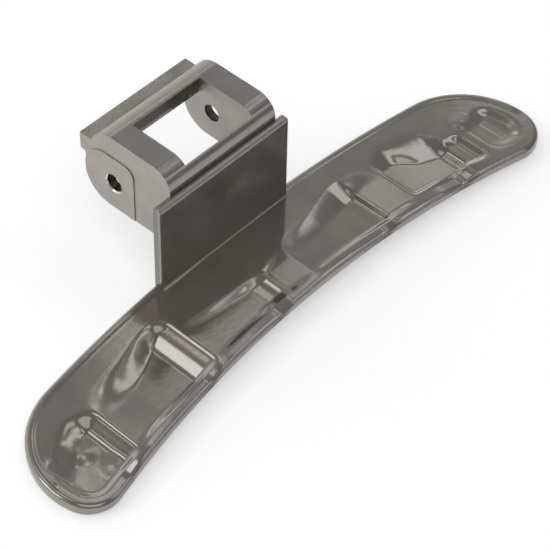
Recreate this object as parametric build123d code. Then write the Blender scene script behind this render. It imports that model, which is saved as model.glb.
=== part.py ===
from build123d import *
import math
import os

os.makedirs("parts", exist_ok=True)

# A one-piece cast handle lever. A long bowed grip lies along X, a stop plate stands on its back edge,
# and a pivot frame with two bored ears stands off the back of the plate. The grip's upper face is
# scooped between a smooth back margin and a rim along its front edge.
# Origin: on the axis of the pivot pin, midway between the ears.
# +X runs along the grip to its longer arm, +Y from the stop plate to the back of the frame, +Z up.

# Pivot frame, in millimetres
frame_width = 37.0
ear_wall = 2.5
pivot_bore = 5.0
lug_radius = 8.0
lug_behind_bore = 1.9
roof_height = 15.0
roof_thickness = 3.3
front_round = 5.5
front_wall = 1.6
frame_sink = 0.4
beam_radius = 7.6
beam_wall = 3.3
beam_foot = 4.4
lip_reach = 11.6
lip_bottom = 4.7
lip_top = 9.8
window_width = 23.3
window_length = 17.7
beam_behind_window = 0.4
pad_rise = 0.25
pad_reach = 7.0
pad_height = 8.6
pad_front_round = 3.0
pad_back_round = 7.5
frame_edge = 0.35

# Stop plate
plate_distance = 21.6
plate_width = 45.0
plate_height = 26.9
plate_thickness = 2.6
plate_offset = -1.5
plate_edge = 0.7
plate_end_edge = 0.4
plate_foot_round = 0.9
plate_toe_depth = 0.2
plate_foot_depth = 3.0
weld_tolerance = 0.001

# Grip
grip_drop = 17.8
grip_offset = 6.1
left_reach = 90.5
right_reach = 83.5
grip_middle_width = 30.0
grip_behind_plate = 1.0
back_edge_radius = 501.0
front_edge_radius = 348.0
tip_radius = 22.4
left_front_corner = 8.5
right_front_corner = 11.0
top_bow_radius = 1600.0
front_thickness = 1.9
front_bow = 4.2
back_thickness = 5.6
back_bow = 0.4
top_edge = 1.0
bottom_edge = 0.9

# Scoops, each with a floor that falls towards +X from its start to a sloping riser at its end.
# A start is measured along X from the middle of the pivot frame, or from the tip that the name gives, and
# back is the distance in front of the stop plate. Entry and depth are the floor's depths at start and end.
rim_width = 2.6
riser_run = 1.1
long_scoop = dict(start=-59.5, length=28.5, back=8.5, entry=0.0, depth=2.0)
inner_scoop = dict(start=-28.5, length=24.3, back=12.8, entry=0.0, depth=1.0)
thumb_scoop = dict(start=-13.0, length=9.2, back=13.4, entry=1.1, depth=1.9)
middle_scoop = dict(start=6.5, length=28.0, back=8.0, entry=0.0, depth=2.0)
left_tip_scoop = dict(start=3.7, length=18.5, back=15.0, entry=0.0, depth=1.9)
right_tip_square = dict(start=-45.5, length=18.0, back=11.0, entry=1.2, depth=1.2)
right_tip_slot = dict(start=-26.0, length=4.6, back=18.5, entry=1.6, depth=1.6)
right_tip_pocket = dict(start=-15.5, length=10.0, back=14.0, entry=1.3, depth=0.9)
tip_boss_start = 11.7
tip_boss_back = 21.4
tip_boss_radius = 3.2
tip_boss_height = 0.7
tip_boss_depth = 0.3

# Places worked out from the sizes above
plate_front_y = -plate_distance
plate_back_y = plate_front_y + plate_thickness
grip_top_z = -grip_drop
grip_back_y = plate_back_y + grip_behind_plate
grip_front_y = grip_back_y - grip_middle_width
long_reach = max(left_reach, right_reach)
tip_front_y = grip_front_y - front_edge_radius + math.sqrt(front_edge_radius ** 2 - long_reach ** 2)
left_tip_x = grip_offset - left_reach
right_tip_x = grip_offset + right_reach
lug_bottom_z = -lug_radius - 0.3
lug_back_y = lug_behind_bore + lug_radius
roof_under_z = roof_height - roof_thickness
frame_front_y = plate_back_y - frame_sink
window_front_y = frame_front_y + front_wall
window_back_y = window_front_y + window_length
beam_centre_z = roof_height - beam_radius
beam_y = window_back_y + beam_behind_window


def bow_drop(x, radius):
    """How far a bowed face has fallen at x, measured from its crown in the middle of the grip."""
    run = x - grip_offset
    return radius - math.sqrt(radius * radius - run * run)


def grip_top(x):
    """Height of the grip's upper face at x."""
    return grip_top_z - bow_drop(x, top_bow_radius)


def tip_ends(reach, side, inset):
    """Where one tip's circle starts, turns and ends: at the back edge, outermost and at the front edge."""
    back_r = back_edge_radius - inset
    front_r = front_edge_radius + inset
    tip_r = tip_radius - inset
    back_centre = Vector(0, grip_back_y - back_edge_radius)
    front_centre = Vector(0, grip_front_y - front_edge_radius)
    tip_x = reach - tip_radius
    tip_rise = math.sqrt((back_edge_radius - tip_radius) ** 2 - tip_x ** 2)
    tip_centre = back_centre + Vector(tip_x, tip_rise)
    shoulder = back_centre + Vector(tip_x, tip_rise).normalized() * back_r
    to_front = front_centre - tip_centre
    along = (tip_r ** 2 - front_r ** 2 + to_front.length ** 2) / (2 * to_front.length)
    aside = math.sqrt(tip_r ** 2 - along ** 2)
    way = to_front.normalized()
    corner = tip_centre + way * along + Vector(-way.Y, way.X) * aside
    apex = tip_centre + Vector(tip_r, 0)
    return [Vector(grip_offset + side * end.X, end.Y) for end in (shoulder, apex, corner)]


def grip_plan(inset=0.0):
    """The crescent outline of the grip, looked at from above, drawn inset from the real edge."""
    left_shoulder, left_apex, left_corner = tip_ends(left_reach, -1, inset)
    right_shoulder, right_apex, right_corner = tip_ends(right_reach, 1, inset)
    with BuildSketch() as plan:
        with BuildLine():
            ThreePointArc(left_shoulder, (grip_offset, grip_back_y - inset), right_shoulder)
            ThreePointArc(right_shoulder, right_apex, right_corner)
            ThreePointArc(right_corner, (grip_offset, grip_front_y + inset), left_corner)
            ThreePointArc(left_corner, left_apex, left_shoulder)
        make_face()
        fillet(plan.vertices().sort_by_distance(right_corner)[0], right_front_corner - inset)
        fillet(plan.vertices().sort_by_distance(left_corner)[0], left_front_corner - inset)
    return plan.sketch


def under_side(thickness, bow, plane_y):
    """A lengthways section of everything above the underside, which arches between the two tips."""
    left = grip_offset - 2 * long_reach
    right = grip_offset + 2 * long_reach
    crown_z = grip_top_z - thickness
    foot_z = crown_z - 4 * bow
    with BuildSketch(Plane.XZ.offset(-plane_y)) as section:
        with BuildLine():
            ThreePointArc((left, foot_z), (grip_offset, crown_z), (right, foot_z))
            Polyline((right, foot_z), (right, grip_top_z + 5), (left, grip_top_z + 5), (left, foot_z))
        make_face()
    return section.sketch


def grip_blank():
    """The crescent, bowed lengthways, with an underside that arches more along its front than its back."""
    half = long_reach + 5
    with BuildSketch(Plane.XZ) as side:
        with BuildLine():
            left = grip_offset - half
            right = grip_offset + half
            ThreePointArc((left, grip_top(left)), (grip_offset, grip_top_z), (right, grip_top(right)))
            Polyline(
                (right, grip_top(right)),
                (right, grip_top_z - 20),
                (left, grip_top_z - 20),
                (left, grip_top(left)),
            )
        make_face()
    upper = extrude(side.sketch, 2 * long_reach, both=True)
    lower = loft(
        [
            under_side(front_thickness, front_bow, tip_front_y),
            under_side(back_thickness, back_bow, grip_back_y + 1),
        ],
        ruled=True,
    )
    blank = extrude(Pos(0, 0, grip_top_z - 20) * grip_plan(), 30) & upper & lower
    blank = fillet(blank.faces().sort_by(Axis.Z)[-1].edges(), top_edge)
    return chamfer(blank.faces().sort_by(Axis.Z)[0].edges(), bottom_edge)


def scoop_tool(start_x, length, back, entry, depth):
    """What a scoop takes out: a patch of the plan above a floor that falls along X to a sloping riser."""
    above = 4.0
    lead = above if entry == 0 else 0.0
    end_x = start_x + length
    back_y = plate_front_y - back
    near_y = back_y - 2 * grip_middle_width
    patch = Pos((start_x - lead + end_x + above) / 2, (back_y + near_y) / 2) * Rectangle(
        end_x + above - start_x + lead, back_y - near_y
    )
    column = extrude(Pos(0, 0, grip_top_z - 20) * (patch & grip_plan(rim_width)), 30)
    floor_start = grip_top(start_x) - entry
    floor_end = grip_top(end_x) - depth
    foot_x = end_x - depth * riser_run
    slope = (floor_end - floor_start) / (foot_x - start_x)
    with BuildSketch(Plane.XZ) as side:
        with BuildLine():
            Polyline(
                (start_x - above, floor_start - slope * above),
                (foot_x, floor_end),
                (foot_x + 10 * riser_run, floor_end + 10),
                (start_x - above, floor_end + 10),
                close=True,
            )
        make_face()
    tool = column & extrude(side.sketch, 80, both=True)
    floor = tool.faces().sort_by(Axis.Z)[0]
    return fillet(floor.edges(), depth * 0.7)


def cut_scoop(body, middle_x, start, length, back, entry, depth):
    """Takes a scoop out of the grip. Its start is measured from middle_x, towards +X."""
    return body - scoop_tool(middle_x + start, length, back, entry, depth)


def tip_boss():
    """The low round boss on the floor of the scoop at the shorter arm's tip."""
    boss_x = left_tip_x + tip_boss_start
    boss_y = plate_front_y - tip_boss_back
    root = tip_boss_height + front_thickness / 2
    boss = Pos(boss_x, boss_y, grip_top(boss_x) - tip_boss_depth - root / 2) * Cylinder(tip_boss_radius, root)
    return chamfer(boss.edges().sort_by(Axis.Z)[-1], tip_boss_height)


def grip():
    """The bowed grip with its scoops and pockets cut into the upper face."""
    body = grip_blank()
    for scoop in (long_scoop, inner_scoop, thumb_scoop, middle_scoop):
        body = cut_scoop(body, 0, **scoop)
    body = cut_scoop(body, left_tip_x, **left_tip_scoop)
    for scoop in (right_tip_square, right_tip_slot, right_tip_pocket):
        body = cut_scoop(body, right_tip_x, **scoop)
    return body + tip_boss()


def frame_side():
    """The side outline of the pivot frame, from the stop plate round the lug, the lip and the roof."""
    lip_angle = math.degrees(math.asin((lip_top - beam_centre_z) / beam_radius))
    lip_y = beam_y + beam_radius * math.cos(math.radians(lip_angle))
    lug_z = lug_bottom_z + lug_radius
    round_y = frame_front_y + front_round
    with BuildSketch(Plane.YZ) as side:
        with BuildLine():
            Line((frame_front_y, lug_bottom_z), (lug_behind_bore, lug_bottom_z))
            CenterArc((lug_behind_bore, lug_z), lug_radius, -90, 90)
            Polyline(
                (lug_back_y, lug_z),
                (lug_back_y, beam_foot),
                (lip_reach, lip_bottom),
                (lip_reach, lip_top),
                (lip_y, lip_top),
            )
            CenterArc((beam_y, beam_centre_z), beam_radius, lip_angle, 90 - lip_angle)
            Line((beam_y, roof_height), (round_y, roof_height))
            CenterArc((round_y, roof_height - front_round), front_round, 90, 90)
            Line((frame_front_y, roof_height - front_round), (frame_front_y, lug_bottom_z))
        make_face()
    return side.sketch


def frame_hollow():
    """The side outline of the space between the ears, open below the roof and behind the beam's foot."""
    inner = beam_radius - beam_wall
    low = lug_bottom_z - frame_width
    far = lip_reach + frame_width
    with BuildSketch(Plane.YZ) as side:
        with BuildLine():
            Polyline((window_front_y, low), (window_front_y, roof_under_z), (beam_y, roof_under_z))
            CenterArc((beam_y, beam_centre_z), inner, 0, 90)
            Polyline(
                (beam_y + inner, beam_centre_z),
                (beam_y + inner, beam_foot),
                (far, beam_foot),
                (far, low),
                (window_front_y, low),
            )
        make_face()
    return side.sketch


def pad_side():
    """The side outline of the raised flat pad round the bore, before the ear's own outline trims it."""
    low = lug_bottom_z
    with BuildSketch(Plane.YZ) as side:
        with BuildLine():
            Line((-pad_reach, low), (-pad_reach, pad_height - pad_front_round))
            CenterArc((pad_front_round - pad_reach, pad_height - pad_front_round), pad_front_round, 90, 90)
            Line((pad_front_round - pad_reach, pad_height), (lug_back_y - pad_back_round, pad_height))
            CenterArc((lug_back_y - pad_back_round, pad_height - pad_back_round), pad_back_round, 0, 90)
            Line((lug_back_y, pad_height - pad_back_round), (lug_back_y, low))
            Line((lug_back_y, low), (-pad_reach, low))
        make_face()
    return side.sketch


def pivot_frame():
    """Roof with its window, two bored ears with their pads, the rounded back beam and its lip."""
    outline = frame_side()
    half = frame_width / 2
    body = extrude(outline, half, both=True)
    skyline = [edge for edge in body.edges().filter_by(Axis.X, reverse=True) if (edge @ 0.5).Z > pad_height]
    body = fillet([edge for edge in skyline if (edge @ 0.5).Y > frame_front_y + front_round / 20], frame_edge)
    body = body - extrude(frame_hollow(), half - ear_wall, both=True)
    window_middle = (window_front_y + window_back_y) / 2
    body = body - Pos(0, window_middle, roof_height) * Box(window_width, window_length, 4 * roof_thickness)
    pads = extrude(pad_side() & outline, half + pad_rise, both=True)
    body = body + (pads - Box(frame_width, 4 * lip_reach, 4 * roof_height))
    return body - Rot(0, 90, 0) * Cylinder(pivot_bore / 2, frame_width + 4 * pad_rise)


def stop_plate():
    """The upright plate, its free edges rounded to a bead, its flared foot sunk into the grip's back edge."""
    top_z = grip_top_z + plate_height
    toe_z = grip_top_z - plate_toe_depth
    low_z = grip_top_z - plate_foot_depth
    toe_y = plate_front_y - plate_foot_round
    with BuildSketch(Plane.YZ) as side:
        with BuildLine():
            Line((plate_front_y, top_z), (plate_front_y, toe_z + plate_foot_round))
            CenterArc((toe_y, toe_z + plate_foot_round), plate_foot_round, 0, -90)
            Polyline(
                (toe_y, toe_z),
                (toe_y, low_z),
                (plate_back_y, low_z),
                (plate_back_y, top_z),
                (plate_front_y, top_z),
            )
        make_face()
    plate = Pos(plate_offset, 0, 0) * extrude(side.sketch, plate_width / 2, both=True)
    plate = fillet(plate.edges().filter_by(Axis.X).group_by(Axis.Z)[-1], plate_edge)
    ends = plate.faces().sort_by(Axis.X)[0].edges() + plate.faces().sort_by(Axis.X)[-1].edges()
    return fillet([edge for edge in ends if (edge @ 0.5).Z > toe_z], plate_end_edge)


handle_lever = grip().fuse(stop_plate(), tol=weld_tolerance) + pivot_frame()
print("volume", round(handle_lever.volume), "size", handle_lever.bounding_box().size)
export_step(handle_lever, "parts/handle_lever.step")
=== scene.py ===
# %% [markdown]
# # A cast handle lever in dark nickel
# The real object is one casting: a long bowed grip, an upright stop plate on its back edge, and a pivot
# frame behind the plate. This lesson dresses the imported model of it. The finish is glossy, so everything
# that the eye reads comes from how smoothly the surfaces turn. The forms could be sculpted by hand, but
# meshes made from formulas keep those turns clean, and every size can still be changed afterwards.

# %% Load the fixed frame
import math

import bmesh
import bpy
import numpy as np
from mathutils import Matrix, Vector
from mathutils.geometry import delaunay_2d_cdt


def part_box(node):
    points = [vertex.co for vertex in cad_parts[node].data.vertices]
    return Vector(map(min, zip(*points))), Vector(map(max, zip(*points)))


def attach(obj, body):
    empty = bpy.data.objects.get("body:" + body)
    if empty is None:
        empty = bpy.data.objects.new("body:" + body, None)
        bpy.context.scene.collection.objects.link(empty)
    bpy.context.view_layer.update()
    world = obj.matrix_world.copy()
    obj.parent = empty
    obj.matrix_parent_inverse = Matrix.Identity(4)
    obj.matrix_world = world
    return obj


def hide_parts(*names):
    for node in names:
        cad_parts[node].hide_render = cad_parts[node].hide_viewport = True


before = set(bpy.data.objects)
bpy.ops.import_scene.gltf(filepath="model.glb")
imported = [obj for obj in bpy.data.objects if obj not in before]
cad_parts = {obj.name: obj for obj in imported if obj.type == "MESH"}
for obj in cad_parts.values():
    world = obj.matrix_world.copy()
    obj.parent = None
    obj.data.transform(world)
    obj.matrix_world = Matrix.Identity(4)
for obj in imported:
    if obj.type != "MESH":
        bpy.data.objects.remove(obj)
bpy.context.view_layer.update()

print("nodes of the model:", list(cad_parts))

# %% [markdown]
# ## Shared sizes
# Lengths are in millimetres, as on a drawing, and a mesh is turned to metres when it is made. The frame's
# own box gives the two ends of the grip and its lowest point, so these always agree with the model. The
# other values here are the ones that more than one piece needs: the plate's two faces, the level of the
# grip's top, and the place along the grip where its bow is highest.

# %% Sizes shared by the pieces
mm = 0.001
low_corner, high_corner = (np.array(corner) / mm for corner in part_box("handle_lever"))
plate_front_y = -21.6
plate_thickness = 2.6
plate_back_y = plate_front_y + plate_thickness
grip_top_z = -17.8
crown_x = 6.1
print(f"grip from x {low_corner[0]:.1f} to {high_corner[0]:.1f}, lowest point at z {low_corner[2]:.1f}")

# %% [markdown]
# ## The camera
# The photograph was taken with a long lens from above the shorter arm. A long lens keeps parallel edges
# nearly parallel. A Track To constraint could aim a camera at the lever, but it can't give the slight roll
# of the picture, so the camera's own three directions are worked out and put into its matrix. The place
# and the angles come from the square corners of the plate and the frame.

# %% Camera
camera_place = np.array([-280.74, -287.21, 389.51])
camera_azimuth = math.radians(-48.288)
camera_elevation = math.radians(47.45)
camera_roll = math.radians(1.347)
lens_length = 146.4
sensor_width = 36.0


def add_camera():
    """A long-lens camera looking down at the lever from in front of its shorter arm."""
    forward = Vector((
        -math.sin(camera_azimuth) * math.cos(camera_elevation),
        math.cos(camera_azimuth) * math.cos(camera_elevation),
        -math.sin(camera_elevation),
    ))
    level = forward.cross(Vector((0, 0, 1))).normalized()
    right = level * math.cos(camera_roll) + level.cross(forward) * math.sin(camera_roll)
    up = right.cross(forward)
    turn = Matrix((right, up, -forward)).transposed().to_4x4()
    data = bpy.data.cameras.new("camera")
    data.lens = lens_length
    data.sensor_width = sensor_width
    data.clip_end = 10
    camera = bpy.data.objects.new("camera", data)
    bpy.context.scene.collection.objects.link(camera)
    camera.matrix_world = Matrix.Translation(camera_place * mm) @ turn
    bpy.context.scene.camera = camera
    return camera


camera = add_camera()
print("camera right vector:", [round(v, 4) for v in camera.matrix_world.col[0][:3]])

# %% [markdown]
# ## The outline of the grip
# Looked at from above, the grip is a crescent between two big circles, and a smaller circle rounds each tip.
# Where a tip's circle meets the front one, a small round takes off the corner. A curve object could draw
# this edge too. Circles that touch smoothly have one advantage: once their centres are known, the distance
# of any point from the edge is a formula, and the rim and the scoops can be measured from it.
#
# The two arms differ in length, so each has its own pair of tip circles, worked out as if it were the
# right-hand one and mirrored for the left.

# %% Circles of the crescent
grip_width = 30.0
back_lap = 1.0
back_y = plate_back_y + back_lap
front_y = back_y - grip_width
back_radius = 501.0
front_radius = 348.0
tip_radius = 22.4
left_corner_radius = 8.5
right_corner_radius = 11.0
left_reach = crown_x - low_corner[0]
right_reach = high_corner[0] - crown_x
back_centre = np.array([0.0, back_y - back_radius])
front_centre = np.array([0.0, front_y - front_radius])


def circles_meet(first, first_radius, second, second_radius):
    """The right-hand point where two circles cross."""
    between = second - first
    gap = np.hypot(*between)
    along = (first_radius ** 2 - second_radius ** 2 + gap ** 2) / (2 * gap)
    aside = math.sqrt(first_radius ** 2 - along ** 2)
    way = between / gap
    return first + way * along + np.array([-way[1], way[0]]) * aside


def tip_circles(reach, corner_radius):
    """The centres of the circles at one tip, with the corner's radius."""
    tip_x = reach - tip_radius
    tip = back_centre + [tip_x, math.sqrt((back_radius - tip_radius) ** 2 - tip_x ** 2)]
    corner = circles_meet(tip, tip_radius - corner_radius, front_centre, front_radius + corner_radius)
    return tip, corner, corner_radius


left_tip = tip_circles(left_reach, left_corner_radius)
right_tip = tip_circles(right_reach, right_corner_radius)
print("left tip and corner:", left_tip[0].round(1), left_tip[1].round(1))
print("right tip and corner:", right_tip[0].round(1), right_tip[1].round(1))

# %% [markdown]
# A point's distance from the edge is measured to the circle whose arc it lies behind. The line from the back
# circle's centre through the tip's centre parts the back arc from the tip's, and two more lines bound the
# corner's arc. The functions take whole arrays of points, which is many times faster than one by one.

# %% Distance from the edge
def clockwise_of(run, y, start, way):
    """True where a point lies clockwise of the line from start along way."""
    return (run - start[0]) * way[1] - (y - start[1]) * way[0] > 0


def arm_distance(run, y, circles):
    """Distance in from the edge, on the arm that these tip circles end."""
    tip, corner, corner_radius = circles
    from_back = back_radius - np.hypot(run - back_centre[0], y - back_centre[1])
    from_tip = tip_radius - np.hypot(run - tip[0], y - tip[1])
    from_corner = corner_radius - np.hypot(run - corner[0], y - corner[1])
    from_front = np.hypot(run - front_centre[0], y - front_centre[1]) - front_radius
    outer = np.where(clockwise_of(run, y, back_centre, tip - back_centre), from_tip, from_back)
    in_corner = clockwise_of(run, y, corner, corner - tip)
    in_corner &= ~clockwise_of(run, y, corner, front_centre - corner)
    return np.where(in_corner, from_corner, np.minimum(outer, from_front))


def edge_distance(x, y):
    """Distance in from the crescent's edge, for arrays of points inside it."""
    run = x - crown_x
    return np.where(run > 0, arm_distance(run, y, right_tip), arm_distance(-run, y, left_tip))


halfway_y = (front_y + back_y) / 2
print("distance in from the edge at the crown's middle:", float(edge_distance(crown_x, halfway_y)))

# %% [markdown]
# The same circles draw the edge itself. Each point of it comes with its outward way, so that a ring of
# points can later be moved inwards by any distance and stay parallel to the edge.

# %% Points along the edge
outline_step = 0.45


def arm_outline(circles, step):
    """Points and outward ways along one arm's edge, from the front middle to the back middle."""
    tip, corner, corner_radius = circles
    at_front, at_tip, at_shoulder = (
        math.atan2(way[1], way[0]) for way in (corner - front_centre, corner - tip, tip - back_centre)
    )
    arcs = [
        (front_centre, front_radius, math.pi / 2, at_front, -1),
        (corner, corner_radius, at_front - math.pi, at_tip, 1),
        (tip, tip_radius, at_tip, at_shoulder, 1),
        (back_centre, back_radius, at_shoulder, math.pi / 2, 1),
    ]
    places = []
    ways = []
    for centre, radius, start, stop, outward in arcs:
        count = max(int(abs(stop - start) * radius / step), 8)
        angles = np.linspace(start, stop, count, endpoint=False)
        way = np.column_stack([np.cos(angles), np.sin(angles)])
        places.append(centre + radius * way)
        ways.append(outward * way)
    places.append(np.array([[0.0, back_y]]))
    ways.append(np.array([[0.0, 1.0]]))
    return np.vstack(places), np.vstack(ways)


def full_outline(step):
    """The whole edge, anticlockwise from the front middle: the right arm, then the left one backwards."""
    right_places, right_ways = arm_outline(right_tip, step)
    left_places, left_ways = arm_outline(left_tip, step)
    mirror = np.array([-1.0, 1.0])
    places = np.vstack([right_places, left_places[-2:0:-1] * mirror])
    ways = np.vstack([right_ways, left_ways[-2:0:-1] * mirror])
    return places + [crown_x, 0.0], ways


outline, outline_ways = full_outline(outline_step)
print("outline points:", len(outline))
print("outline from y", outline[:, 1].min().round(2), "to", outline[:, 1].max().round(2))

# %% [markdown]
# ## The upper face of the grip
# The face is a height above every point of the plan, which suits a casting whose mould opens straight up.
# It starts as a gentle bow. Every scoop then lowers it by the product of three things: how deep the floor
# is at this place along the grip, how far the point lies in front of the scoop's back line, and how far it
# lies behind the rim. Booleans could cut the scoops, but their edges would come out sharp, and the way in
# which a scoop melts into the face is what the light shows. Floors and back lines are straight from point
# to point, as a mould maker would cut them, and a little softening rounds their corners.

# %% Smooth steps and lines
def soft_step(value):
    """0 below 0, 1 above 1, and a smooth turn between."""
    t = np.clip(value, 0.0, 1.0)
    return t * t * (3 - 2 * t)


def drawn_line(points, x, soften):
    """The line through a few (x, value) points, level beyond them, with its corners softened."""
    at, value = np.array(points, dtype=float).T
    offsets = np.linspace(-soften, soften, 9)
    return sum(np.interp(x + offset, at, value) for offset in offsets) / len(offsets)


print("a soft step at a quarter of its way:", soft_step(0.25))

# %% [markdown]
# The scoops, from the shorter arm to the longer one. `floor` is a list of (x, depth) points, `back` of
# (x, y) points, and `wall` of (x, width) points for the slope in front of the back line. `soften` rounds the
# corners of the floor's line over that many millimetres each way, and those of the other two over twice as
# many. A `crisp` wall is steepest at its foot. `rim` is where the rim's inner slope starts, measured in from
# the edge, and `rim_slope` is how wide that slope is, where they differ from the usual ones.

# %% The scoops
scoops = {
    "left_tip": dict(
        floor=[(-85, 0), (-79.5, 0.75), (-65.6, 1.9), (-62.4, 0)],
        back=[(-84, -38), (-78, -35.2), (-71, -33.0), (-66, -32.8), (-62.4, -34.6)],
        wall=[(-84, 14.0), (-76, 11.0), (-69, 6.6), (-63, 4.2)],
        soften=1.3,
    ),
    "long": dict(
        floor=[(-62, 0), (-58, 0.35), (-50, 1.35), (-42, 2.0), (-37.9, 2.2), (-33.9, 1.25), (-30.8, 0)],
        back=[(-61, -31.0), (-50, -29.4), (-43, -28.0), (-37.2, -26.6), (-33.0, -26.2), (-31.0, -28.0)],
        wall=[(-60, 10.0), (-48, 8.5), (-40, 6.0), (-34, 4.0)],
        soften=0.9,
    ),
    "inner": dict(
        floor=[(-29.5, 0), (-24, 0.35), (-13.2, 0.8), (-8, 0.8), (-4.2, 0)],
        back=[(-29.5, -32.6), (-13, -34.2), (-4, -34.6)],
        wall=[(-29.5, 3.0), (-4, 3.0)],
        soften=1.5,
    ),
    "thumb": dict(
        floor=[(-14.6, 0), (-12.4, 0.5), (-9.5, 0.75), (-5.6, 0.7), (-3.2, 0)],
        back=[(-14, -34.2), (-5.2, -34.6), (-3.2, -35.8)],
        wall=[(-13, 3.0), (-4, 2.6)],
        soften=1.0,
        rim_slope=3.8,
    ),
    "flat_step": dict(
        floor=[(-3.2, 0), (-2.4, 0.25), (5.8, 0)],
        back=[(-2.6, -34.6), (5.6, -32.4)],
        wall=[(-2.6, 2.0), (5.6, 2.0)],
        soften=0.3,
    ),
    "middle": dict(
        floor=[(6, 0), (8, 0.2), (20, 1.0), (30, 1.75), (33.0, 1.7), (34.0, 0.68), (43.8, 0)],
        back=[(6, -31.5), (20, -29.0), (30, -26.6), (38, -26.4), (43.8, -29.4)],
        wall=[(6, 6.0), (30, 8.0), (36, 8.0)],
        soften=0.28,
    ),
    "square": dict(
        floor=[(43.9, 0), (44.8, 0.85), (61.2, 1.95), (62.3, 0.95), (63.6, 0.6), (65, 0)],
        back=[(44, -29.0), (50, -25.5), (55, -26.5), (60, -28.0), (64, -29.0)],
        wall=[(44, 4.0), (50.6, 8.0), (54.6, 11.2), (63.6, 11.6)],
        soften=0.7,
        crisp=True,
        rim=4.4,
        rim_slope=1.9,
    ),
    "slot": dict(
        floor=[(62.6, 0), (64.2, 0.5), (67.2, 0.8), (69.6, 0)],
        back=[(62.6, -36.0), (69.6, -37.6)],
        wall=[(62, 3.2), (69, 3.2)],
        soften=0.8,
        rim=3.8,
        rim_slope=2.2,
    ),
    "pocket": dict(
        floor=[(72.8, 0), (76.2, 0.6), (80.5, 0.6), (88, 0)],
        back=[(74, -36.8), (79, -34.4), (84, -35.2), (87, -38.0)],
        wall=[(74, 4.4), (87, 4.4)],
        soften=1.2,
        rim=4.0,
        rim_slope=4.0,
    ),
}
print("scoops:", ", ".join(scoops))

# %% [markdown]
# Where two cuts meet, the plain maximum of their depths would leave a sharp crease. Here each depth is
# raised to the fourth power, the powers are added and the fourth root is taken. The result stays close to
# the deeper cut and turns softly where both are as deep, as a polished casting does.

# %% Depth of a scoop
rim_start = 1.9
rim_slope_width = 2.7
crease_power = 4


def scoop_depth(x, y, inward, scoop):
    """How far one scoop lowers the face."""
    back_soften = 2 * scoop["soften"]
    forward = (drawn_line(scoop["back"], x, back_soften) - y) / drawn_line(scoop["wall"], x, back_soften)
    below_back = np.clip(forward, 0, 1) ** 2 if scoop.get("crisp") else soft_step(forward)
    behind_rim = (inward - scoop.get("rim", rim_start)) / scoop.get("rim_slope", rim_slope_width)
    return drawn_line(scoop["floor"], x, scoop["soften"]) * below_back * soft_step(behind_rim)


def deepest(cuts):
    """A soft maximum of several depths."""
    return sum(cut ** crease_power for cut in cuts) ** (1 / crease_power)


print("two cuts 1 mm deep meet at a depth of", round(deepest([1.0, 1.0]), 2))

# %% [markdown]
# Three small forms are left. The rim's crest along the front dips beside the deep end of each large scoop.
# A very low bead runs along the back edge. And the tips have faint round swellings, which show as dark and
# bright spots in the polish. Front and back are told apart by the line halfway across the grip.

# %% Rim, bead and swellings
crest_dips = [
    (-84, 0), (-76, 0.5), (-69, 0.85), (-64.4, 0.05), (-60, 0), (-50, 0.35), (-36.4, 0.9), (-32.0, 0.05),
    (-28, 0), (-20, 0.3), (-9.6, 0.9), (-5.2, 0.05), (6, 0), (18, 0.3), (29.4, 0.95), (33.9, 0.05),
    (44, 0), (50, 0.2), (57, 0.9), (61.5, 0.05), (66, 0),
]
crest_soften = 1.2
crest_width = 5.2
crest_fade = 1.6
bead_height = 0.14
bead_width = 2.9
bead_fade = 1.4
middle_fade = 4.0
tip_swellings = [
    ((-71.6, -41.6), 5.0, 0.26),
    ((-68.6, -50.0), 4.6, 0.16),
    ((73.5, -36.0), 4.0, 0.3),
]


def swelling(x, y, middle, radius, height):
    """A low round swelling."""
    away = np.hypot(x - middle[0], y - middle[1]) / radius
    return height * np.clip(1 - away * away, 0, 1) ** 2


def middle_line(x):
    """The y halfway between the grip's front and back edges."""
    run = x - crown_x
    front = front_centre[1] + np.sqrt(front_radius ** 2 - run ** 2)
    back = back_centre[1] + np.sqrt(back_radius ** 2 - run ** 2)
    return (front + back) / 2


print("deepest dip of the rim's crest:", max(depth for _, depth in crest_dips))

# %% [markdown]
# The height of the upper face puts all of this together: the bow, less the cuts, plus the low forms.

# %% Height of the upper face
top_bow = 1600.0


def crown_height(x):
    """Height of the plain bow at x."""
    return grip_top_z - (top_bow - np.sqrt(top_bow ** 2 - (x - crown_x) ** 2))


def upper_height(x, y):
    """Height of the grip's upper face."""
    inward = edge_distance(x, y)
    in_front = soft_step((middle_line(x) - y) / middle_fade)
    on_crest = in_front * soft_step((crest_width - inward) / crest_fade)
    cuts = [scoop_depth(x, y, inward, scoop) for scoop in scoops.values()]
    cuts.append(drawn_line(crest_dips, x, crest_soften) * on_crest)
    bead = bead_height * soft_step((bead_width - inward) / bead_fade) * (1 - in_front)
    swellings = sum(swelling(x, y, *place_and_size) for place_and_size in tip_swellings)
    return crown_height(x) - deepest(cuts) + bead + swellings


along_grip = np.linspace(low_corner[0] + tip_radius, high_corner[0] - tip_radius, 300)
scooped = crown_height(along_grip) - upper_height(along_grip, middle_line(along_grip))
print("deepest scoop on the middle line:", scooped.max().round(2))

# %% [markdown]
# ## The underside of the grip
# The underside can't be seen in the photograph. It is a plain face, as the lower half of a mould would leave
# it: thicker towards the back than along the front edge, and more arched along the front. Both change evenly
# across the grip, so the face needs only its front and back values.

# %% Height of the underside
front_thickness = 1.9
back_thickness = 5.6
front_arch = 4.2
back_arch = 0.4
past_back = 1.0


def under_height(x, y):
    """Height of the underside, which arches more along its front edge than along its back."""
    reach = max(left_reach, right_reach)
    tips_y = front_y - front_radius + math.sqrt(front_radius ** 2 - reach ** 2)
    share = (y - tips_y) / (back_y + past_back - tips_y)
    thickness = front_thickness + (back_thickness - front_thickness) * share
    arch = front_arch + (back_arch - front_arch) * share
    return grip_top_z - thickness - arch * ((x - crown_x) / reach) ** 2


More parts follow.
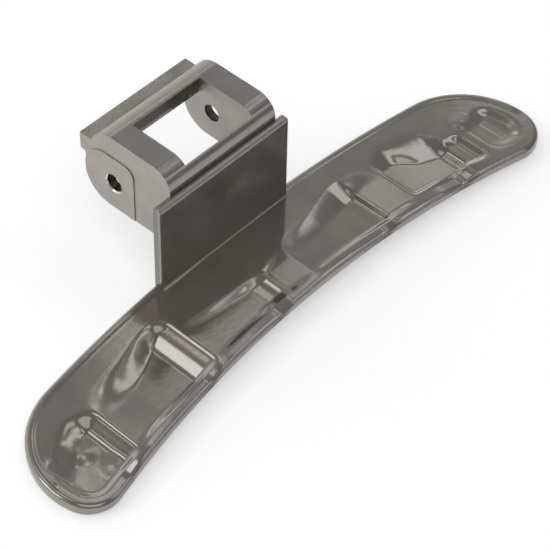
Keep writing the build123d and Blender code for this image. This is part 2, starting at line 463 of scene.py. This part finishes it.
print("thickness at the crown's middle:", round(grip_top_z - under_height(crown_x, halfway_y), 2))

# %% [markdown]
# ## The grip's mesh
# A grid pushed up and down by the height would be quick, but a grid doesn't follow a curved edge, and the
# rim's highlights would break up into steps. So rings of points follow the edge: over the underside's
# rounded corner, up the side, over the top's rounded edge and on across the rim. Inside the last ring,
# points in straight columns are joined into even triangles, and so the steps that cross the grip come out
# straight too. These first helpers add a ring, join two of them, lay out the columns and fill a ring in.

# %% Helpers for rings
past_back_edge = 4.0
merge_within = 1e-5


def add_ring(mesh, inset, surface, lift=0.0):
    """A ring of vertices parallel to the edge and inside it, at a surface's height or a little off it."""
    spots = outline - outline_ways * inset
    levels = surface(spots[:, 0], spots[:, 1]) + lift
    return [mesh.verts.new((x, y, z)) for (x, y), z in zip(spots, levels)]


def bridge(mesh, outer, inner):
    """Joins two rings of as many vertices with quads."""
    for i in range(len(outer)):
        j = (i + 1) % len(outer)
        mesh.faces.new((outer[i], outer[j], inner[j], inner[i]))


def columns_inside(inset, x_step, y_step):
    """Points in columns across the grip that lie further in than inset."""
    columns = np.arange(low_corner[0] + inset, high_corner[0] - inset, x_step)
    front_line = front_centre[1] + np.sqrt(front_radius ** 2 - (columns - crown_x) ** 2)
    offsets = np.arange(inset, grip_width + past_back_edge, y_step)
    x = np.repeat(columns, len(offsets))
    y = (front_line[:, None] + offsets).ravel()
    keep = edge_distance(x, y) > inset
    return np.column_stack([x[keep], y[keep]])


def fill_ring(mesh, ring, inner_points, surface):
    """Triangulates the space inside a ring of vertices, with extra points at a surface's height."""
    flat = [Vector(vertex.co.xy) for vertex in ring] + [Vector(point) for point in inner_points]
    count = len(ring)
    edges = [(i, (i + 1) % count) for i in range(count)]
    only_inside = 1
    joined = delaunay_2d_cdt(flat, edges, [], only_inside, merge_within)
    inner = np.array(joined[0][count:])
    levels = surface(inner[:, 0], inner[:, 1])
    made = list(ring) + [mesh.verts.new((x, y, z)) for (x, y), z in zip(inner, levels)]
    for corners in joined[2]:
        mesh.faces.new([made[i] for i in corners])


print("points in the outline's columns, 2 mm apart:", len(columns_inside(2.0, 2.0, 2.0)))

# %% [markdown]
# The rounded corners are quarter circles: at each angle, the sine gives how far the ring is up or down, and
# the cosine how far it is in. The last helper turns a finished millimetre mesh into an object in metres.

# %% Grip
edge_round = 1.15
under_round = 0.9
rim_rings = np.arange(1.5, 4.4, 0.3)
ring_gap = 0.28
column_step = 0.4
row_step = 0.42
under_gap = 1.2
under_step = 2.0


def half_way_up(x, y):
    """Height of the middle of the grip's side, between its two rounded corners."""
    return (under_height(x, y) + under_round + crown_height(x) - edge_round) / 2


def grip_mesh():
    """The whole grip as one closed mesh, ring by ring from the underside to the top."""
    mesh = bmesh.new()
    rings = []
    for turn in np.radians(np.linspace(90, 0, 7)):
        inset = under_round * (1 - math.cos(turn))
        rings.append(add_ring(mesh, inset, under_height, under_round * (1 - math.sin(turn))))
    rings.append(add_ring(mesh, 0, half_way_up))
    for turn in np.radians(np.linspace(0, 90, 10)):
        inset = edge_round * (1 - math.cos(turn))
        rings.append(add_ring(mesh, inset, upper_height, -edge_round * (1 - math.sin(turn))))
    rings += [add_ring(mesh, inset, upper_height) for inset in rim_rings]
    for outer, inner in zip(rings, rings[1:]):
        bridge(mesh, outer, inner)
    top_points = columns_inside(rim_rings[-1] + ring_gap, column_step, row_step)
    fill_ring(mesh, rings[-1], top_points, upper_height)
    under_points = columns_inside(under_round + under_gap, under_step, under_step)
    fill_ring(mesh, rings[0], under_points, under_height)
    return mesh


def new_piece(name, mesh):
    """Turns a millimetre mesh into an object in metres, with its faces turned outwards."""
    bmesh.ops.scale(mesh, vec=(mm, mm, mm), verts=mesh.verts)
    bmesh.ops.recalc_face_normals(mesh, faces=mesh.faces)
    data = bpy.data.meshes.new(name)
    mesh.to_mesh(data)
    mesh.free()
    piece = bpy.data.objects.new(name, data)
    bpy.context.scene.collection.objects.link(piece)
    return piece


grip = new_piece("grip", grip_mesh())
grip.data.shade_smooth()
print("grip triangles:", sum(len(face.vertices) - 2 for face in grip.data.polygons))

# %% [markdown]
# ## Drawing a side outline and pulling it out
# The plate and the frame are straight along X. They could start as cubes with loop cuts, but each is easier
# to read as an outline in (y, z), drawn from a few lines and arcs and pulled out to its width.

# %% Outlines and prisms
arc_step = math.radians(4)


def arc(centre, radius, start, stop):
    """Points along an arc, both ends included, with angles in degrees."""
    count = max(int(abs(math.radians(stop - start)) / arc_step), 2)
    angles = np.radians(np.linspace(start, stop, count + 1))
    return [(centre[0] + radius * math.cos(a), centre[1] + radius * math.sin(a)) for a in angles]


def prism(points, low_x, high_x):
    """A mesh of a (y, z) outline pulled out along X."""
    mesh = bmesh.new()
    left = [mesh.verts.new((low_x, y, z)) for y, z in points]
    right = [mesh.verts.new((high_x, y, z)) for y, z in points]
    bridge(mesh, left, right)
    mesh.faces.new(left[::-1])
    mesh.faces.new(right)
    return mesh


print("points in a quarter circle:", len(arc((0, 0), 1, 0, 90)))

# %% [markdown]
# A bevel modifier rounds the edges that a maker would round: on the frame every sharp one, on the plate only
# those that carry a weight. Weighted normals then keep the flats flat, which matters in a glossy finish. The
# modifiers are applied, so that the mesh itself holds the result.

# %% Rounding edges
face_weight = 60


def apply_modifiers(piece):
    """Makes the modifiers' result the piece's own mesh."""
    graph = bpy.context.evaluated_depsgraph_get()
    data = bpy.data.meshes.new_from_object(piece.evaluated_get(graph), depsgraph=graph)
    piece.modifiers.clear()
    old = piece.data
    piece.data = data
    bpy.data.meshes.remove(old)


def round_edges(piece, width, segments, angle=None):
    """Rounds the edges sharper than an angle in degrees, or the weighted ones where none is given."""
    piece.data.shade_smooth()
    bevel = piece.modifiers.new("bevel", "BEVEL")
    bevel.width = width * mm
    bevel.segments = segments
    if angle is None:
        bevel.limit_method = "WEIGHT"
        bevel.use_clamp_overlap = False
    else:
        bevel.limit_method = "ANGLE"
        bevel.angle_limit = math.radians(angle)
    weigh = piece.modifiers.new("weigh", "WEIGHTED_NORMAL")
    weigh.weight = face_weight
    weigh.keep_sharp = True
    apply_modifiers(piece)
    print(piece.name, "faces after rounding:", len(piece.data.polygons))


print("weight of large faces in the normals, where 50 is even:", face_weight)

# %% [markdown]
# ## The stop plate
# On the real lever this plate stops against the housing. Its free edges are a soft bead along the top and
# small rounds at the ends. Its foot flares into the grip, which catches a thin bright line of light along
# its whole length. The flare is part of the outline. The bead and the end rounds differ in size, so they
# come from one bevel with weights, and the flare's lower edge stays sharp against the grip.

# %% Stop plate
plate_width = 45.0
plate_height = 26.9
plate_offset = -1.5
plate_bead = 1.1
plate_end_round = 0.4
foot_round = 0.9
toe_depth = 0.2
foot_sink = 1.6
plate_top_z = grip_top_z + plate_height
toe_z = grip_top_z - toe_depth
near = 0.01


def plate_side():
    """The plate's outline in (y, z), with the hollow flare at its foot."""
    toe_y = plate_front_y - foot_round
    flare = arc((toe_y, toe_z + foot_round), foot_round, -90, 0)
    low_z = grip_top_z - foot_sink
    return (
        [(plate_back_y, low_z), (toe_y, low_z)]
        + flare
        + [(plate_front_y, plate_top_z), (plate_back_y, plate_top_z)]
    )


def plate_mesh():
    """The plate, with a weight on every edge that gets rounded."""
    low_x = plate_offset - plate_width / 2
    mesh = prism(plate_side(), low_x, low_x + plate_width)
    weights = mesh.edges.layers.float.new("bevel_weight_edge")
    for edge in mesh.edges:
        first, second = (vertex.co for vertex in edge.verts)
        along = abs(first.x - second.x) > near
        if along and min(first.z, second.z) > plate_top_z - near:
            edge[weights] = 1.0
        elif not along and min(first.z, second.z) > toe_z - near:
            edge[weights] = plate_end_round / plate_bead
        edge.smooth = not (along and abs(first.z - toe_z) < near)
    return mesh


plate = new_piece("stop_plate", plate_mesh())
round_edges(plate, plate_bead, 5)

# %% [markdown]
# ## The pivot frame
# The frame is shaped like a channel: two ears, a roof and a rounded back beam with a rough lip behind it.
# The outline below is that of an ear from the side. It runs from the plate round the lug, out to the lip, up
# over the beam and back along the roof.

# %% Outline of the frame
frame_sink = 0.4
front_wall = 1.6
window_length = 17.7
lug_radius = 8.0
lug_y = 1.9
lug_z = -0.3
roof_z = 15.0
front_round = 5.5
beam_radius = 7.6
beam_back = 0.4
beam_foot = 4.4
lip_reach = 11.6
lip_bottom = 4.7
lip_top = 9.8
frame_front_y = plate_back_y - frame_sink
window_front_y = frame_front_y + front_wall
window_back_y = window_front_y + window_length
beam_y = window_back_y + beam_back
beam_z = roof_z - beam_radius
lug_back_y = lug_y + lug_radius
lug_bottom_z = lug_z - lug_radius


def frame_side():
    """The frame's outline in (y, z), from the plate under the lug, up the back and over the roof."""
    lip_angle = math.degrees(math.asin((lip_top - beam_z) / beam_radius))
    return (
        [(frame_front_y, lug_bottom_z)]
        + arc((lug_y, lug_z), lug_radius, -90, 0)
        + [(lug_back_y, beam_foot), (lip_reach, lip_bottom), (lip_reach, lip_top)]
        + arc((beam_y, beam_z), beam_radius, lip_angle, 90)
        + arc((frame_front_y + front_round, roof_z - front_round), front_round, 90, 180)
    )


print("points in the frame's outline:", len(frame_side()))

# %% [markdown]
# The rest of the frame is taken out of that block or put on it: the hollow between the ears, the window in
# the roof, and a raised pad round the bore of each ear. Faces could be inset and extruded for these, but
# simple helper bodies and exact Booleans leave clean flat faces, and each helper can be read by itself.

# %% Hollow, window and pads
roof_thickness = 3.3
beam_wall = 3.3
past_outline = 10.0
window_half = 11.65
pad_front = -7.0
pad_top = 8.6
pad_front_round = 3.0
pad_back_round = 7.5


def hollow_side():
    """The outline of the space between the ears, which runs out below and behind."""
    inner = beam_radius - beam_wall
    low = lug_bottom_z - past_outline
    far = lip_reach + past_outline
    return (
        [(window_front_y, low), (window_front_y, roof_z - roof_thickness)]
        + arc((beam_y, beam_z), inner, 90, 0)
        + [(beam_y + inner, beam_foot), (far, beam_foot), (far, low)]
    )


def window_side():
    """The outline of the window's cutter, which starts in the hollow and ends above the roof."""
    low, high = roof_z - 2 * roof_thickness, roof_z + past_outline
    return [(window_front_y, low), (window_back_y, low), (window_back_y, high), (window_front_y, high)]


def pad_side():
    """The raised pad round the bore, cut to the ear's own outline below and behind."""
    back_middle = (lug_back_y - pad_back_round, pad_top - pad_back_round)
    front_middle = (pad_front + pad_front_round, pad_top - pad_front_round)
    return (
        [(pad_front, lug_bottom_z)]
        + arc((lug_y, lug_z), lug_radius, -90, 0)
        + arc(back_middle, pad_back_round, 0, 90)
        + arc(front_middle, pad_front_round, 90, 180)
    )


print("points in the pad's outline:", len(pad_side()))

# %% [markdown]
# The bores take the pivot pin, and their mouths are broken by a small lead so that the pin goes in easily.
# The cutter is four circles of points round the X axis, two of the bore's radius and two of the mouth's. It
# starts inside the hollow and ends outside the pad.

# %% Bore cutter
frame_half = 18.5
ear_wall = 2.5
pad_rise = 0.25
bore_radius = 2.5
bore_lead = 0.35
tool_inside = 2.0
tool_outside = 1.0


def bore_tool(side):
    """A turned cutter for one ear's bore, wider at the ear's outer face, on the side -1 or 1."""
    outer = frame_half + pad_rise
    stations = [
        (frame_half - ear_wall - tool_inside, bore_radius),
        (outer - bore_lead, bore_radius),
        (outer, bore_radius + bore_lead),
        (outer + tool_outside, bore_radius + bore_lead),
    ]
    mesh = bmesh.new()
    rings = []
    for x, radius in stations:
        circle = arc((0, 0), radius, 0, 360)[:-1]
        rings.append([mesh.verts.new((side * x, y, z)) for y, z in circle])
    for first, second in zip(rings, rings[1:]):
        bridge(mesh, first, second)
    mesh.faces.new(rings[0][::-1])
    mesh.faces.new(rings[-1])
    return mesh


print("bore diameter:", 2 * bore_radius)

# %% [markdown]
# Now the block is pulled out, the pads go on, and everything else is cut. A narrow bevel at the end breaks
# every sharp edge, as polishing does. Without it no edge would catch the light.

# %% Pivot frame
edge_break = 0.22
pad_root = 1.0


def combine(piece, mesh, operation):
    """Adds or cuts a helper mesh with an exact Boolean, and removes the helper."""
    helper = new_piece("helper", mesh)
    modifier = piece.modifiers.new("combine", "BOOLEAN")
    modifier.operation = operation
    modifier.solver = "EXACT"
    modifier.object = helper
    apply_modifiers(piece)
    bpy.data.objects.remove(helper)


pivot_frame = new_piece("pivot_frame", prism(frame_side(), -frame_half, frame_half))
inner_half = frame_half - ear_wall
combine(pivot_frame, prism(pad_side(), -frame_half - pad_rise, -frame_half + pad_root), "UNION")
combine(pivot_frame, prism(pad_side(), frame_half - pad_root, frame_half + pad_rise), "UNION")
combine(pivot_frame, prism(hollow_side(), -inner_half, inner_half), "DIFFERENCE")
combine(pivot_frame, prism(window_side(), -window_half, window_half), "DIFFERENCE")
combine(pivot_frame, bore_tool(-1), "DIFFERENCE")
combine(pivot_frame, bore_tool(1), "DIFFERENCE")
round_edges(pivot_frame, edge_break, 3, angle=30)

# %% [markdown]
# ## The finish
# The metal is plated with dark nickel of a warm tone. One Principled shader with plain numbers would look
# too even to be real, so noise does three small jobs here: it mottles the colour, it varies the roughness
# with it, and a finer noise gives the surface a very low waviness. The shader is mostly metallic. The little
# matt reflection that is left keeps the faces that see only the lever itself from going black.

# %% Dark nickel
metal_share = 0.85
cloud_scale = 110
roughness_swing = 0.2


def nickel(name, colour, roughness, wave_height, wave_scale, mottle=0.16):
    """A dark plated metal with faint mottling in its colour and roughness, and a fine uneven surface."""
    material = bpy.data.materials.new(name)
    material.use_nodes = True
    nodes = material.node_tree.nodes
    links = material.node_tree.links
    shader = nodes["Principled BSDF"]
    shader.inputs["Metallic"].default_value = metal_share
    where = nodes.new("ShaderNodeTexCoord")
    cloud = nodes.new("ShaderNodeTexNoise")
    cloud.inputs["Scale"].default_value = cloud_scale
    cloud.inputs["Detail"].default_value = 8
    links.new(where.outputs["Object"], cloud.inputs["Vector"])
    spread = nodes.new("ShaderNodeMapRange")
    spread.inputs["To Min"].default_value = roughness * (1 - roughness_swing)
    spread.inputs["To Max"].default_value = roughness * (1 + roughness_swing)
    links.new(cloud.outputs["Fac"], spread.inputs["Value"])
    links.new(spread.outputs["Result"], shader.inputs["Roughness"])
    tint = nodes.new("ShaderNodeMix")
    tint.data_type = "RGBA"
    tint.inputs["A"].default_value = (*((1 - mottle) * c for c in colour), 1)
    tint.inputs["B"].default_value = (*((1 + mottle) * c for c in colour), 1)
    links.new(cloud.outputs["Fac"], tint.inputs["Factor"])
    links.new(tint.outputs["Result"], shader.inputs["Base Color"])
    grain = nodes.new("ShaderNodeTexNoise")
    grain.inputs["Scale"].default_value = wave_scale
    grain.inputs["Detail"].default_value = 2
    links.new(where.outputs["Object"], grain.inputs["Vector"])
    bump = nodes.new("ShaderNodeBump")
    bump.inputs["Strength"].default_value = 1.0
    bump.inputs["Distance"].default_value = wave_height * mm
    links.new(grain.outputs["Fac"], bump.inputs["Height"])
    links.new(bump.outputs["Normal"], shader.inputs["Normal"])
    return material


print("share of metal in the plating:", metal_share)

# %% [markdown]
# One function makes every material. Four are one plating on surfaces that were worked differently: the grip
# is polished, the plate and the frame are buffed a little duller, the machined ears are satin, and the lip
# is rough as it was cast. The other two are painted light: the ears' edge bevels get a bright colour as a
# painted highlight, and the bores get a near-black colour as painted shade.

# %% Finishes, painted highlight and painted shade
polished = nickel("dark_nickel", (0.32, 0.293, 0.26), 0.13, wave_height=0.012, wave_scale=700)
buffed = nickel("buffed_nickel", (0.285, 0.262, 0.234), 0.22, wave_height=0.02, wave_scale=900)
satin = nickel("satin_nickel", (0.375, 0.345, 0.305), 0.36, wave_height=0.01, wave_scale=1500, mottle=0.26)
as_cast = nickel("cast_nickel", (0.30, 0.275, 0.24), 0.3, wave_height=0.34, wave_scale=2200, mottle=0.5)
# Painted shade: the inside of the bores gets a near-black colour in place of the shade that falls there.
painted_bore_shade = nickel("bore_painted_shade", (0.09, 0.08, 0.07), 0.35, wave_height=0.02, wave_scale=1500)
# Painted highlight: the bevels along the ears' edges get a bright colour in place of the light they catch.
painted_edge_highlight = nickel("edge_painted_highlight", (0.68, 0.65, 0.60), 0.2, wave_height=0.01, wave_scale=1500)
frame_finishes_and_painted_light = [buffed, satin, as_cast, painted_bore_shade, painted_edge_highlight]
for piece, finishes in ((grip, [polished]), (plate, [buffed]), (pivot_frame, frame_finishes_and_painted_light)):
    for finish in finishes:
        piece.data.materials.append(finish)
    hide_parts("handle_lever")
    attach(piece, "root")
    print(piece.name, "has", len(piece.data.materials), "finishes")

# %% [markdown]
# A mask painted by hand could tell the frame's five materials apart. Here each face is asked where it lies
# and how far it looks sideways: the ears' faces look straight sideways, and the bevels along their edges
# partly, and these bevels take the painted highlight. Faces inside the bores take the painted shade. That
# rule still works when a size of the frame is changed.

# %% Finishes, painted highlight and painted shade of the frame
lip_start_y = 7.4
edge_allowance = 0.1
bore_allowance = 0.02
ear_facing = 0.98
mouth_facing = 0.9
bevel_facing = 0.3
lip_facing = -0.1


def frame_finish(face):
    """The finish of one face of the frame, or the painted shade or painted highlight that it takes."""
    middle = face.center / mm
    sideways = abs(face.normal.x)
    # Faces inside the bores take the painted shade.
    if sideways < mouth_facing and math.hypot(middle.y, middle.z) < bore_radius + bore_allowance:
        return painted_bore_shade
    if sideways > ear_facing:
        return satin
    # The bevels along the ears' edges take the painted highlight.
    if sideways > bevel_facing:
        return painted_edge_highlight
    on_lip = middle.y > lip_start_y and middle.z < lip_top + edge_allowance
    if on_lip and face.normal.z > lip_facing:
        return as_cast
    return buffed


face_finishes_and_painted_light = [frame_finish(face) for face in pivot_frame.data.polygons]
for face, finish in zip(pivot_frame.data.polygons, face_finishes_and_painted_light):
    face.material_index = frame_finishes_and_painted_light.index(finish)
for finish in frame_finishes_and_painted_light:
    print("faces in", finish.name + ":", face_finishes_and_painted_light.count(finish))

# %% [markdown]
# ## The floor
# Metal shows its surroundings, so the room matters as much as the finish. In the photograph the lever lies
# on a white ground with a soft shadow. A floor lit to white would throw too much light back up under the
# lever. So to the lamps it is pale paper, and a little glow lifts it to white only for the rays that come
# from the camera or from a reflection. Its size, like the sizes of the lamps further on, is in metres.

# %% Floor
floor_half = 4.0
floor_tone = 0.95
floor_lift = 0.39


def add_floor():
    """A pale floor under the lowest point of the lever."""
    z = low_corner[2] * mm
    signs = [(-1, -1), (1, -1), (1, 1), (-1, 1)]
    data = bpy.data.meshes.new("floor")
    data.from_pydata([(x * floor_half, y * floor_half, z) for x, y in signs], [], [(0, 1, 2, 3)])
    floor = bpy.data.objects.new("floor", data)
    bpy.context.scene.collection.objects.link(floor)
    return floor


def floor_paper():
    """Pale matt paper that glows a little for the camera and for reflections."""
    material = bpy.data.materials.new("floor")
    material.use_nodes = True
    nodes = material.node_tree.nodes
    links = material.node_tree.links
    shader = nodes["Principled BSDF"]
    shader.inputs["Base Color"].default_value = (floor_tone, floor_tone, floor_tone, 1)
    shader.inputs["Roughness"].default_value = 0.9
    shader.inputs["Specular IOR Level"].default_value = 0.0
    shader.inputs["Emission Color"].default_value = (1, 1, 1, 1)
    path = nodes.new("ShaderNodeLightPath")
    seen = path.outputs["Is Camera Ray"]
    for ray in ("Is Glossy Ray", "Is Transmission Ray"):
        total = nodes.new("ShaderNodeMath")
        total.operation = "ADD"
        total.use_clamp = True
        links.new(seen, total.inputs[0])
        links.new(path.outputs[ray], total.inputs[1])
        seen = total.outputs["Value"]
    lift = nodes.new("ShaderNodeMath")
    lift.operation = "MULTIPLY"
    lift.inputs[1].default_value = floor_lift
    links.new(seen, lift.inputs[0])
    links.new(lift.outputs["Value"], shader.inputs["Emission Strength"])
    return material


floor = add_floor()
floor.data.materials.append(floor_paper())
print("floor at z", round(low_corner[2], 2))

# %% [markdown]
# ## The sky
# A picture of a studio could light the scene, but a gradient is enough here: pale low down behind the lever,
# which the faces that tip backwards show, and a plain grey overhead and in front. The gradient runs along
# one tilted direction, and a dot product measures how far each part of the sky lies that way.

# %% Sky
sky_high = 1.2
sky_low = 0.29
pale_way = (0, 0.8, -0.6)
fade_start = -0.3
fade_end = 0.75


def add_sky():
    """A sky that is pale low down behind the lever, and fades to a plain grey overhead and in front."""
    world = bpy.data.worlds.new("sky")
    bpy.context.scene.world = world
    world.use_nodes = True
    nodes = world.node_tree.nodes
    links = world.node_tree.links
    where = nodes.new("ShaderNodeTexCoord")
    behind = nodes.new("ShaderNodeVectorMath")
    behind.operation = "DOT_PRODUCT"
    behind.inputs[1].default_value = pale_way
    ramp = nodes.new("ShaderNodeMapRange")
    ramp.interpolation_type = "SMOOTHSTEP"
    ramp.inputs["From Min"].default_value = fade_start
    ramp.inputs["From Max"].default_value = fade_end
    ramp.inputs["To Min"].default_value = sky_low
    ramp.inputs["To Max"].default_value = sky_high
    links.new(where.outputs["Generated"], behind.inputs[0])
    links.new(behind.outputs["Value"], ramp.inputs["Value"])
    links.new(ramp.outputs["Result"], nodes["Background"].inputs["Strength"])
    nodes["Background"].inputs["Color"].default_value = (1, 1, 1, 1)


add_sky()
print("sky level from", sky_low, "to", sky_high)

# %% [markdown]
# ## The soft boxes
# Each facet of a polished casting shows one small part of the room, so a soft box can be hung just where
# one facet looks. Its direction was found by following the camera's ray off that facet and is listed below,
# and the lamp hangs there at a fixed distance from the lever. An area lamp's power is set in watts and
# spreads over its size.
# It is easier to weigh how bright the lamp looks, so the power is worked out from a level on which 1 looks
# like white paper: four watts for each square metre at that level.

# %% Hanging a soft box
lamp_distance = 1.2
watts_per_metre = 4.0


def add_soft_box(name, way, width, height, level, colour):
    """A flat lamp, width by height in metres, seen in a given direction at a given level."""
    data = bpy.data.lights.new(name, "AREA")
    data.shape = "RECTANGLE"
    data.size = width
    data.size_y = height
    data.color = colour
    data.energy = watts_per_metre * level * width * height
    lamp = bpy.data.objects.new(name, data)
    bpy.context.scene.collection.objects.link(lamp)
    lamp.location = Vector(way).normalized() * lamp_distance
    lamp.rotation_euler = (-lamp.location).to_track_quat("-Z", "Y").to_euler()


print("a box 0.1 m square that looks like white paper takes", round(watts_per_metre * 0.1 ** 2, 3), "W")

# %% [markdown]
# The boxes for single facets come first, most of them named for what shows them. A few are warm, because
# the photograph has warm patches between the cool ones. The boxes at the end are the general light: two in
# front, which the plate and the frame's front show, one behind on the right, one at the camera's side, and
# one on the left for the ear. The Standard view transform shows a colour as the shaders give it, with no
# film look on top.

# %% Soft boxes
white = (1.0, 1.0, 1.0)
cool = (0.93, 0.98, 1.0)
warm = (1.0, 0.93, 0.88)
soft_boxes = [
    # The floors of the scoops and the flat parts beside them.
    ("overhead", (0.0, 0.515, 1.043), 0.17, 0.26, 1.75, cool),
    ("margin_window", (0.452, 0.53, 0.965), 0.07, 0.10, 1.0, cool),
    ("spot_window", (0.465, 0.43, 1.02), 0.045, 0.045, 2.6, cool),
    ("facet_window", (0.566, 0.511, 0.926), 0.045, 0.06, 0.55, cool),
    ("step_window", (0.622, 0.483, 0.904), 0.06, 0.10, 0.67, cool),
    ("square_window", (0.89, 0.46, 0.67), 0.08, 0.08, 0.65, cool),
    # Warm patches and thin bright lines in the long scoop and the middle one.
    ("warm_window", (-0.32, 0.504, 1.01), 0.05, 0.2, 1.3, warm),
    ("warm_strip", (0.505, 0.17, 0.85), 0.10, 0.05, 1.7, warm),
    ("back_strip", (0.505, 0.66, 0.60), 0.30, 0.04, 2.2, white),
    ("warm_floor", (0.70, 0.41, 0.89), 0.07, 0.03, 0.8, warm),
    # The rim's crest, the scoops' walls, and the edges of the plate and the frame.
    ("crest_window", (0.43, -0.10, 1.06), 0.42, 0.18, 0.75, cool),
    ("swoosh_window", (0.72, 0.07, 0.95), 0.46, 0.16, 1.0, cool),
    ("slope_window", (0.62, -0.28, 0.99), 0.26, 0.14, 0.9, cool),
    # The general light.
    ("front_wide", (0.505, -0.38, 0.775), 0.6, 0.3, 0.28, cool),
    ("front_low", (0.5, -0.74, 0.45), 0.35, 0.12, 1.3, cool),
    ("back_right", (0.75, 0.62, 0.22), 0.3, 0.12, 1.0, cool),
    ("camera_side", (-0.35, -0.35, 0.87), 1.0, 1.0, 0.6, white),
    ("left_side", (-0.73, 0.45, 0.50), 0.5, 0.45, 2.0, white),
]
for soft_box in soft_boxes:
    add_soft_box(*soft_box)
bpy.context.scene.view_settings.view_transform = "Standard"
print("soft boxes:", len(soft_boxes))
